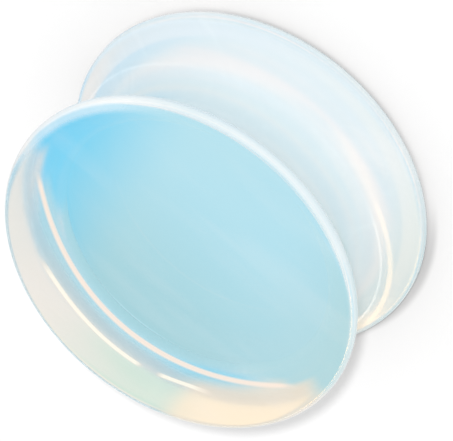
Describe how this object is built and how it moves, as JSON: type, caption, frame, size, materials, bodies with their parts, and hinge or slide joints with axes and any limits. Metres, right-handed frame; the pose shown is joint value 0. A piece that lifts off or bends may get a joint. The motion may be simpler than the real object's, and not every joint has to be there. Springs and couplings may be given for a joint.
{
  "type": "ear plug gauge",
  "caption": "Solid double-flared saddle plug of opalescent glass, with flat faces, rounded rims and a concave waist that holds a stretched ear lobe.",
  "frame": {"origin": "middle of the flat back face, on which the plug lies", "axes": "+Z along the plug's axis, from the back face to the front face"},
  "size_m": [0.029, 0.029, 0.0131],
  "materials": {
    "opal_glass": "polished, milky blue opalescent glass"
  },
  "bodies": {
    "root": {"saddle_plug": "opal_glass"}
  },
  "joints": []
}
